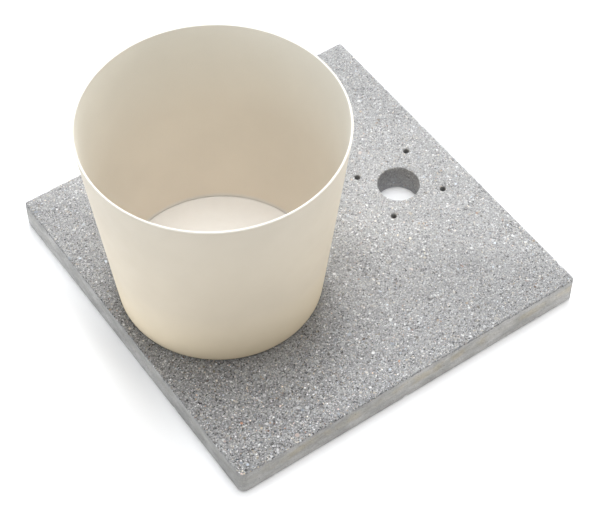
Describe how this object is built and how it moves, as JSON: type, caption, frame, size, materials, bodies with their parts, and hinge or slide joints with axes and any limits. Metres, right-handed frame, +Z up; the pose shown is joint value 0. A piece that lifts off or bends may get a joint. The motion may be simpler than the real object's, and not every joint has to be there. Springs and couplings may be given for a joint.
{
  "type": "planter on a base slab",
  "caption": "Open tapered round sheet-metal plant pot standing loose on a square exposed-aggregate concrete slab that has a pole hole and flange fixing holes beside the pot.",
  "frame": {"origin": "centre of the slab's underside; the rubber pads stand 1 mm below it on the ground", "axes": "+Z up; +X from the pot's end of the slab to the pole hole's end; +Y completes the right-handed frame"},
  "size_m": [0.5179, 0.5, 0.3231],
  "materials": {
    "concrete": "fine exposed aggregate on top, smooth cast sides",
    "cream_enamel": "satin powder coat",
    "pad_rubber": "matte",
    "plug_rubber": "matte",
    "zinc_plated_steel": "zinc plated"
  },
  "bodies": {
    "slab": {"base_slab": "concrete", "fixing_sleeve_near_inner": "zinc_plated_steel", "fixing_sleeve_far_inner": "zinc_plated_steel", "fixing_sleeve_near_outer": "zinc_plated_steel", "fixing_sleeve_far_outer": "zinc_plated_steel", "slab_pad_near_pot_end": "pad_rubber", "slab_pad_far_pot_end": "pad_rubber", "slab_pad_near_hole_end": "pad_rubber", "slab_pad_far_hole_end": "pad_rubber"},
    "pot": {"pot_wall": "cream_enamel", "pot_floor": "cream_enamel", "pot_glide_1": "pad_rubber", "pot_glide_2": "pad_rubber", "pot_glide_3": "pad_rubber"},
    "drain_plug": {"drain_plug": "plug_rubber"}
  },
  "joints": [
    {"name": "pot_lift", "type": "slide", "parent": "slab", "child": "pot", "axis": [0, 0, 1], "range_m": [0, 0.3]},
    {"name": "drain_plug_pull", "type": "slide", "parent": "pot", "child": "drain_plug", "axis": [0, 0, 1], "range_m": [0, 0.3]}
  ]
}
